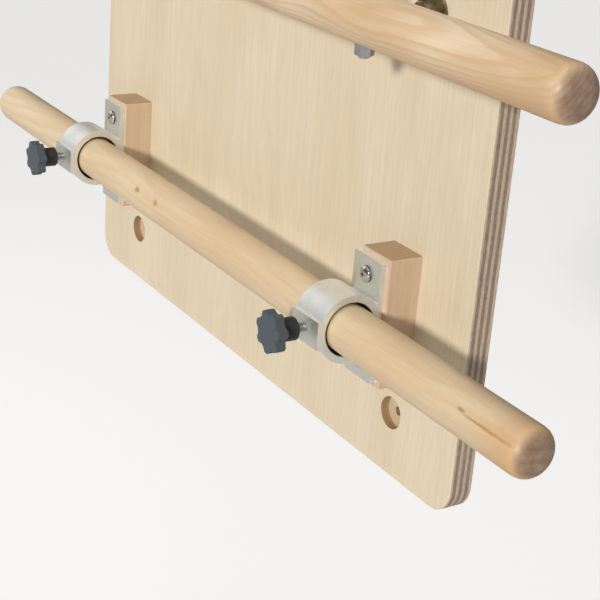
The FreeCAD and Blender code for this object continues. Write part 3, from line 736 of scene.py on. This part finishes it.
# Painted shade: faces side-on to the head, the cross recess walls and the rim, are coloured near
# black.
sideways = between(tree, faces_along(tree, "Y"), 0.5, 0.2)
tree.links.new(tinted(tree, base_colour.links[0].from_socket, sideways, 0.85,
                      (0.05, 0.045, 0.04, 1)), base_colour)


def cut_cross(piece, place, direction, reach, width, depth, taper=0.55):
    """Punch a cross recess whose walls close in towards its bottom."""
    for wide, tall in ((2 * reach, width), (width, 2 * reach)):
        bpy.ops.object.select_all(action="DESELECT")
        bpy.ops.mesh.primitive_cube_add(size=1, location=place)
        punch = begin("punch")
        bpy.ops.transform.resize(value=(wide, 2 * depth, tall), center_override=tuple(place))
        pick(punch, "FACE", lambda side: side.normal.y * direction < -0.9)
        bpy.ops.transform.resize(value=(taper, 1, taper), center_override=tuple(place))
        bpy.ops.object.mode_set(mode="OBJECT")
        bpy.ops.object.select_all(action="DESELECT")
        piece.select_set(True)
        bpy.context.view_layer.objects.active = piece
        recess = piece.modifiers.new("Recess", "BOOLEAN")
        recess.operation = "DIFFERENCE"
        recess.object = punch
        bpy.ops.object.modifier_apply(modifier=recess.name)
        bpy.data.objects.remove(punch)


def soften(piece, width):
    """Break the sharp edges of a finished metal piece."""
    bevel = piece.modifiers.new("Edges", "BEVEL")
    bevel.width = width
    bevel.segments = 2
    bevel.limit_method = "ANGLE"
    bevel.angle_limit = math.radians(38)
    bpy.ops.object.modifier_apply(modifier=bevel.name)


low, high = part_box("bracket_screws_left")
centre = middle("bracket_screws_left")
head_radius, shank_radius, rim, dome, dome_angle, rings = 0.007, 0.003, 0.0010, 0.0032, 82, 7
cross_reach, cross_width, cross_depth, edge_round = 0.0031, 0.0013, 0.0025, 0.00018
head_back = low.y + dome + rim
heads = []
for z in (low.z + head_radius, high.z - head_radius):
    bpy.ops.object.select_all(action="DESELECT")
    bpy.ops.mesh.primitive_cylinder_add(vertices=48, radius=head_radius, depth=rim,
                                        location=(centre.x, head_back - rim / 2, z),
                                        rotation=(math.radians(90), 0, 0))
    head = begin("screw_head")
    pick(head, "FACE", lambda side: side.normal.y < -0.9)
    for ring in range(rings):
        here, there = (math.radians(dome_angle * step / rings) for step in (ring, ring + 1))
        bpy.ops.mesh.inset(thickness=head_radius * (math.cos(here) - math.cos(there)),
                           depth=dome * (math.sin(there) - math.sin(here)))
    pick(head, "FACE", lambda side: side.normal.y > 0.9)
    bpy.ops.mesh.inset(thickness=head_radius - shank_radius)
    bpy.ops.mesh.extrude_region_move(TRANSFORM_OT_translate={"value": (0, high.y - head_back, 0)})
    bpy.ops.object.mode_set(mode="OBJECT")
    cut_cross(head, Vector((centre.x, head_back - dome - rim, z)), -1,
              cross_reach, cross_width, cross_depth)
    soften(head, edge_round)
    heads.append(head)
screws = join(heads, "flange_screws_left")
finish_piece(screws, nickel, "nickel_screw", "root", "bracket_screws_left")
copy_to_right(screws, "flange_screws_right", nickel, "nickel_screw", "root", "bracket_screws_right")

# ---------------------------------------------------------------- block screws
# Two zinc-plated countersunk wood screws pull each block on to the board from behind.
# Only their flat heads show, flush with the back of the board.

low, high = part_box("block_screws_left")
centre = middle("block_screws_left")
flat_radius, body_radius, tip_share = 0.0047, 0.0025, 0.25
cross_reach, cross_width, cross_depth, edge_round = 0.0024, 0.0010, 0.0020, 0.00012
heads = []
for z in (low.z + flat_radius, high.z - flat_radius):
    bpy.ops.object.select_all(action="DESELECT")
    bpy.ops.mesh.primitive_cylinder_add(vertices=40, radius=body_radius, depth=high.y - low.y,
                                        location=(centre.x, centre.y, z),
                                        rotation=(math.radians(90), 0, 0))
    head = begin("flat_head")
    pick(head, "FACE", lambda side: side.normal.y < -0.9)
    bpy.ops.transform.resize(value=(tip_share, 1, tip_share),
                             center_override=(centre.x, low.y, z))
    pick(head, "FACE", lambda side: side.normal.y > 0.9)
    bpy.ops.mesh.extrude_region_move(TRANSFORM_OT_translate={"value": (0, 0, 0)})
    bpy.ops.transform.resize(value=(flat_radius / body_radius,) * 3,
                             center_override=(centre.x, high.y, z))
    pick(head, "VERT", lambda corner: abs(corner.co.y - high.y) < hair
         and math.hypot(corner.co.x - centre.x, corner.co.z - z) < body_radius * 1.1)
    bpy.ops.transform.translate(value=(0, body_radius - flat_radius, 0))
    bpy.ops.object.mode_set(mode="OBJECT")
    cut_cross(head, Vector((centre.x, high.y, z)), 1, cross_reach, cross_width, cross_depth)
    soften(head, edge_round)
    heads.append(head)
flats = join(heads, "wood_screws_left")
finish_piece(flats, zinc, "zinc_steel", "root", "block_screws_left")
copy_to_right(flats, "wood_screws_right", zinc, "zinc_steel", "root", "block_screws_right")

# ---------------------------------------------------------------- eye bolts and their fasteners
# A forged M12 eye bolt stands in a mortise of the hand bar at each side. Its threaded shank
# goes through the board between two washers and two nuts, and a vertical bolt pins the bar to it.

low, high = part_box("eye_bolt_left")
eye_radius, eye_hole, eye_thick, eye_round = 0.013, 0.00405, high.z - low.z, 0.0012
shank_radius, shank_pitch, shank_start, neck, chamfer = 0.006, 0.00175, 0.0165, 0.006, 0.0006
centre = Vector(((low.x + high.x) / 2, low.y + eye_radius, (low.z + high.z) / 2))
thread_start = centre.y + shank_start
shank = threaded_rod("eye_bolt_shank", shank_radius, shank_pitch, thread_start, high.y,
                     centre.x, centre.z)
pick(shank, "FACE", lambda side: side.normal.y < -0.9
     and side.calc_center_median().y < thread_start + hair)
bpy.ops.mesh.extrude_region_move(TRANSFORM_OT_translate={"value": (0, -neck, 0)})
pick(shank, "FACE", lambda side: side.normal.y > 0.9
     and side.calc_center_median().y > high.y - hair)
bpy.ops.mesh.inset(thickness=chamfer)
bpy.ops.object.mode_set(mode="OBJECT")
bpy.ops.object.select_all(action="DESELECT")
bpy.ops.mesh.primitive_cylinder_add(vertices=64, radius=eye_radius, depth=eye_thick,
                                    location=centre)
eye = begin("eye")
pick(eye, "FACE", lambda side: abs(side.normal.z) > 0.9)
bpy.ops.mesh.inset(thickness=eye_radius - eye_hole)
bpy.ops.mesh.bridge_edge_loops()
pick(eye, "EDGE", lambda line: abs(abs(line.verts[0].co.z - centre.z) - eye_thick / 2) < hair
     and line.calc_face_angle(0) > math.radians(60))
bpy.ops.mesh.bevel(offset=eye_round, segments=3, profile=0.5)
bpy.ops.object.mode_set(mode="OBJECT")
eye_bolt = join([eye, shank], "forged_eye_left")
oiled_zinc = metal("oiled zinc plate", light=(0.42, 0.37, 0.27, 1), dark=(0.12, 0.095, 0.055, 1),
                   rough_low=0.24, rough_high=0.45, grain_scale=900.0, relief=0.0001,
                   scratch_share=0.3)
finish_piece(eye_bolt, oiled_zinc, "zinc_steel", "root", "eye_bolt_left")
copy_to_right(eye_bolt, "forged_eye_right", oiled_zinc, "zinc_steel", "root", "eye_bolt_right")

for name, plate in (("eye_nut_front", oiled_zinc), ("eye_washer_front", oiled_zinc),
                    ("eye_nut_back", zinc), ("eye_washer_back", zinc),
                    ("pin_bolt", zinc), ("pin_nut", zinc), ("pin_washers", zinc)):
    dress(plate, *both(name))
